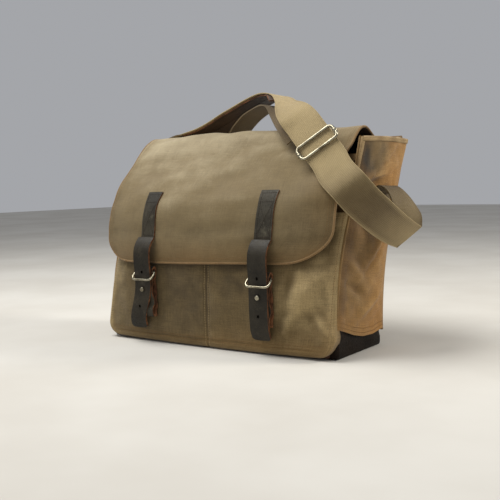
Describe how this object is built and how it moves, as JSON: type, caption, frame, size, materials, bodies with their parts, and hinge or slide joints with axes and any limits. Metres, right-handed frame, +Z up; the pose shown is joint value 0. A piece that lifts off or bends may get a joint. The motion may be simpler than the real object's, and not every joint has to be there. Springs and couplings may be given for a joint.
{
  "type": "messenger bag",
  "caption": "Waxed canvas messenger bag with a full flap, two leather closure straps through wire rings, a divided front pocket and a webbing shoulder strap with a slider.",
  "frame": {"origin": "centre of the base's underside", "axes": "+Z up, the front pocket and flap face -Y, +X to the right seen from the front; the upper body leans back towards +Y"},
  "size_m": [0.4662, 0.2479, 0.3644],
  "materials": {
    "flap_canvas": "waxed, suede-like matt canvas",
    "body_canvas": "waxed plain-weave canvas",
    "gusset_canvas": "waxed plain-weave canvas, warmer and lighter at the folds",
    "lining_cloth": "plain cotton",
    "edge_tape": "folded canvas tape with double stitching",
    "webbing": "ribbed cotton webbing",
    "strap_leather": "oiled, worn at the edges",
    "base_leather": "smooth dark brown",
    "pad_leather": "smooth brown, stitched",
    "board": "pressed fibre board",
    "wire": "pale antique plating, polished by wear",
    "magnet": "plated"
  },
  "bodies": {
    "bag": {"leather_base": "base_leather", "base_board": "board", "front_panel": "body_canvas", "back_panel": "body_canvas", "side_gusset_left": "gusset_canvas", "side_gusset_right": "gusset_canvas", "lining": "lining_cloth", "ear_binding_left": "edge_tape", "ear_binding_right": "edge_tape", "front_seam_tape_left": "edge_tape", "front_seam_tape_right": "edge_tape", "back_seam_tape_left": "edge_tape", "back_seam_tape_right": "edge_tape", "rim_binding": "edge_tape", "pocket_panel_left": "body_canvas", "pocket_panel_right": "body_canvas", "pocket_gusset": "body_canvas", "pocket_divider": "lining_cloth", "pocket_seam_tape": "body_canvas", "strap_end_left": "webbing", "strap_end_right": "webbing", "snap_plate_left": "magnet", "snap_plate_right": "magnet"},
    "flap": {"flap_shell": "flap_canvas", "flap_lining": "lining_cloth", "flap_binding": "edge_tape", "strap_patch_left": "strap_leather", "closure_strap_left": "strap_leather", "ring_tab_left": "strap_leather", "stud_left": "wire", "stud_screw_left": "wire", "snap_magnet_left": "magnet", "strap_patch_right": "strap_leather", "closure_strap_right": "strap_leather", "ring_tab_right": "strap_leather", "stud_right": "wire", "stud_screw_right": "wire", "snap_magnet_right": "magnet"},
    "ring_left": {"ring_left": "wire"},
    "ring_right": {"ring_right": "wire"},
    "shoulder_strap": {"shoulder_webbing": "webbing", "webbing_return": "webbing", "shoulder_pad": "pad_leather"},
    "slider": {"slider_frame": "wire", "slider_bar": "wire"}
  },
  "joints": [
    {"name": "flap_open", "type": "hinge", "parent": "bag", "child": "flap", "pos_m": [0, 0.149, 0.287], "axis": [-1, 0, 0], "range_deg": [0, 170]},
    {"name": "ring_left_swing", "type": "hinge", "parent": "flap", "child": "ring_left", "pos_m": [-0.105, -0.0875, 0.105], "axis": [-1, 0, 0], "range_deg": [0, 70]},
    {"name": "ring_right_swing", "type": "hinge", "parent": "flap", "child": "ring_right", "pos_m": [0.096, -0.0875, 0.105], "axis": [-1, 0, 0], "range_deg": [0, 70]},
    {"name": "shoulder_strap_swing", "type": "hinge", "parent": "bag", "child": "shoulder_strap", "pos_m": [0, 0.149, 0.287], "axis": [-1, 0, 0], "range_deg": [0, 170]},
    {"name": "slider_slide", "type": "slide", "parent": "shoulder_strap", "child": "slider", "axis": [-0.6893, 0.3002, 0.6593], "range_m": [-0.015, 0.03]}
  ],
  "couplings": [
    {"joint": "shoulder_strap_swing", "follows": "flap_open", "ratio": 1}
  ]
}
